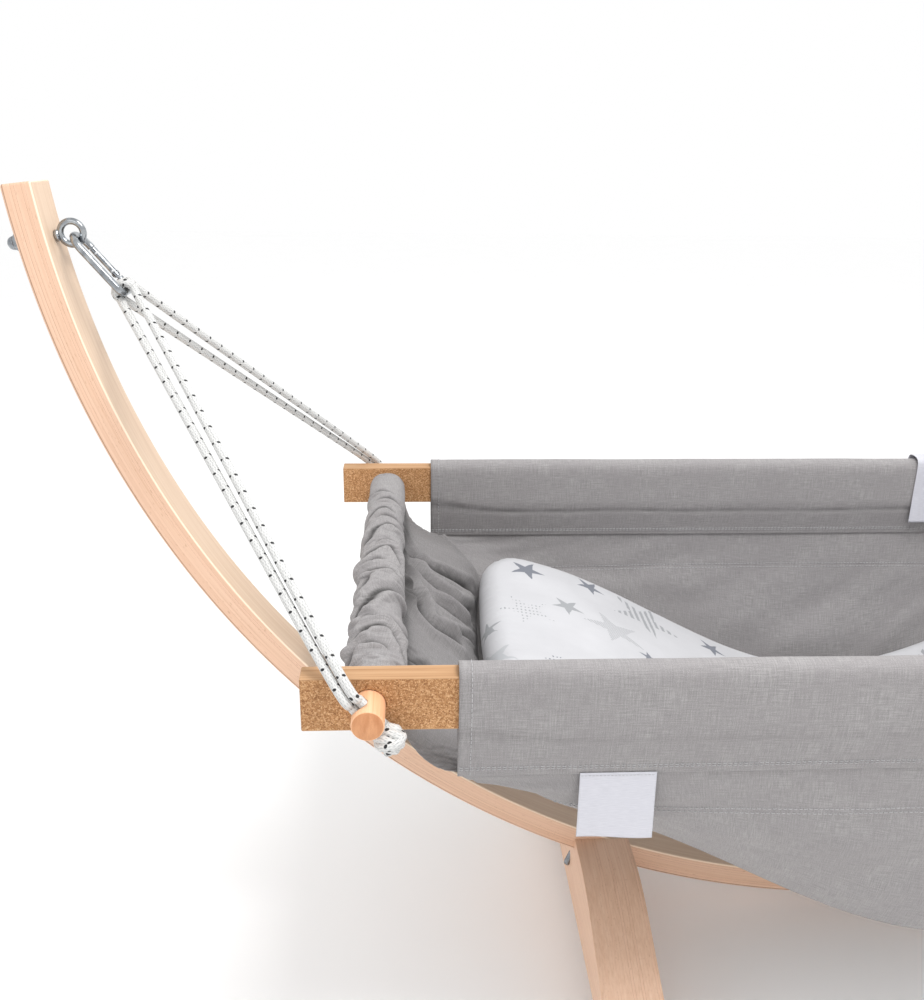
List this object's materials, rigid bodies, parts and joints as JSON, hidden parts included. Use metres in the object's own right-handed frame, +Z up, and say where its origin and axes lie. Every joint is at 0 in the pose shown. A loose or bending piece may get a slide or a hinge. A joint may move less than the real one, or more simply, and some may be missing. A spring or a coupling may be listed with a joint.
{
  "type": "baby cradle",
  "caption": "Fabric sling cradle with a mattress, hung by rope loops and snap hooks from a bow-shaped wooden stand on cross feet.",
  "frame": {"origin": "on the floor under the middle of the stand", "axes": "+X along the bow from left to right, +Y across it to the far rail, +Z up"},
  "size_m": [1.7586, 0.6, 0.7928],
  "materials": {
    "laminated_beech": "clear satin lacquer over glued beech layers",
    "pressed_board": "raw granular board with light timber edges",
    "dowel_beech": "turned and sanded beech",
    "zinc_steel": "bright zinc plating",
    "rope": "white braided polyester with dark tracer flecks",
    "canvas": "grey cotton canvas, plain weave",
    "printed_cotton": "white cotton with a grey star print",
    "satin_ribbon": "woven satin ribbon",
    "felt": "matt floor pads"
  },
  "bodies": {
    "stand": {"bow_left": "laminated_beech", "bow_right": "laminated_beech", "splice_plate": "zinc_steel", "splice_bolt_1": "zinc_steel", "splice_bolt_2": "zinc_steel", "splice_bolt_3": "zinc_steel", "splice_bolt_4": "zinc_steel", "splice_nut_1": "zinc_steel", "splice_nut_2": "zinc_steel", "splice_nut_3": "zinc_steel", "splice_nut_4": "zinc_steel", "foot_left": "laminated_beech", "foot_bolt_left_1": "zinc_steel", "foot_bolt_left_2": "zinc_steel", "foot_pad_left_near": "felt", "foot_pad_left_far": "felt", "eye_bolt_left": "zinc_steel", "eye_washer_left": "zinc_steel", "eye_nut_left": "zinc_steel", "foot_right": "laminated_beech", "foot_bolt_right_1": "zinc_steel", "foot_bolt_right_2": "zinc_steel", "foot_pad_right_near": "felt", "foot_pad_right_far": "felt", "eye_bolt_right": "zinc_steel", "eye_washer_right": "zinc_steel", "eye_nut_right": "zinc_steel"},
    "hook_left": {"hook_left": "zinc_steel", "gate_pin_left": "zinc_steel"},
    "hook_right": {"hook_right": "zinc_steel", "gate_pin_right": "zinc_steel"},
    "gate_left": {"gate_left": "zinc_steel"},
    "gate_right": {"gate_right": "zinc_steel"},
    "ropes_left": {"rope_left_near": "rope", "rope_left_far": "rope"},
    "ropes_right": {"rope_right_near": "rope", "rope_right_far": "rope"},
    "cradle": {"rail_near": "pressed_board", "rail_far": "pressed_board", "dowel_left": "dowel_beech", "dowel_right": "dowel_beech", "pocket_near": "canvas", "pocket_far": "canvas", "side_panel_near": "canvas", "side_panel_far": "canvas", "bottom_panel": "canvas", "end_panel_left": "canvas", "end_panel_right": "canvas", "gathered_sleeve_left": "canvas", "gathered_sleeve_right": "canvas", "label_near": "satin_ribbon", "label_far": "satin_ribbon", "knot_left_near": "rope", "knot_left_far": "rope", "knot_right_near": "rope", "knot_right_far": "rope"},
    "mattress": {"mattress": "printed_cotton"}
  },
  "joints": [
    {"name": "swing", "type": "hinge", "parent": "stand", "child": "hook_left", "pos_m": [0, 0, 0.74082], "axis": [1, 0, 0], "range_deg": [-20, 20]},
    {"name": "swing_right", "type": "hinge", "parent": "stand", "child": "hook_right", "pos_m": [0, 0, 0.74082], "axis": [1, 0, 0], "range_deg": [-20, 20]},
    {"name": "end_sway", "type": "hinge", "parent": "hook_left", "child": "ropes_left", "pos_m": [-0.78028, 0, 0.69756], "axis": [0, 1, 0], "range_deg": [-3, 3]},
    {"name": "sway_cradle", "type": "hinge", "parent": "ropes_left", "child": "cradle", "pos_m": [-0.556, 0, 0.427], "axis": [0, 1, 0], "range_deg": [-4.3, 4.3]},
    {"name": "sway_right", "type": "hinge", "parent": "cradle", "child": "ropes_right", "pos_m": [0.556, 0, 0.427], "axis": [0, 1, 0], "range_deg": [-4.3, 4.3]},
    {"name": "gate_left_open", "type": "hinge", "parent": "hook_left", "child": "gate_left", "pos_m": [-0.79189, 0.0132, 0.71157], "axis": [0.7699, 0, 0.6382], "range_deg": [0, 25], "stiffness_Nm_per_rad": 0.02, "springref_deg": -17.19},
    {"name": "gate_right_open", "type": "hinge", "parent": "hook_right", "child": "gate_right", "pos_m": [0.79189, 0.0132, 0.71157], "axis": [0.7699, 0, -0.6382], "range_deg": [0, 25], "stiffness_Nm_per_rad": 0.02, "springref_deg": -17.19},
    {"name": "mattress_lift", "type": "slide", "parent": "cradle", "child": "mattress", "axis": [0, 0, 1], "range_m": [0, 0.3]}
  ],
  "couplings": [
    {"joint": "swing_right", "follows": "swing", "ratio": 1},
    {"joint": "sway_cradle", "follows": "end_sway", "ratio": -1.4034},
    {"joint": "sway_right", "follows": "end_sway", "ratio": 1.4034}
  ]
}
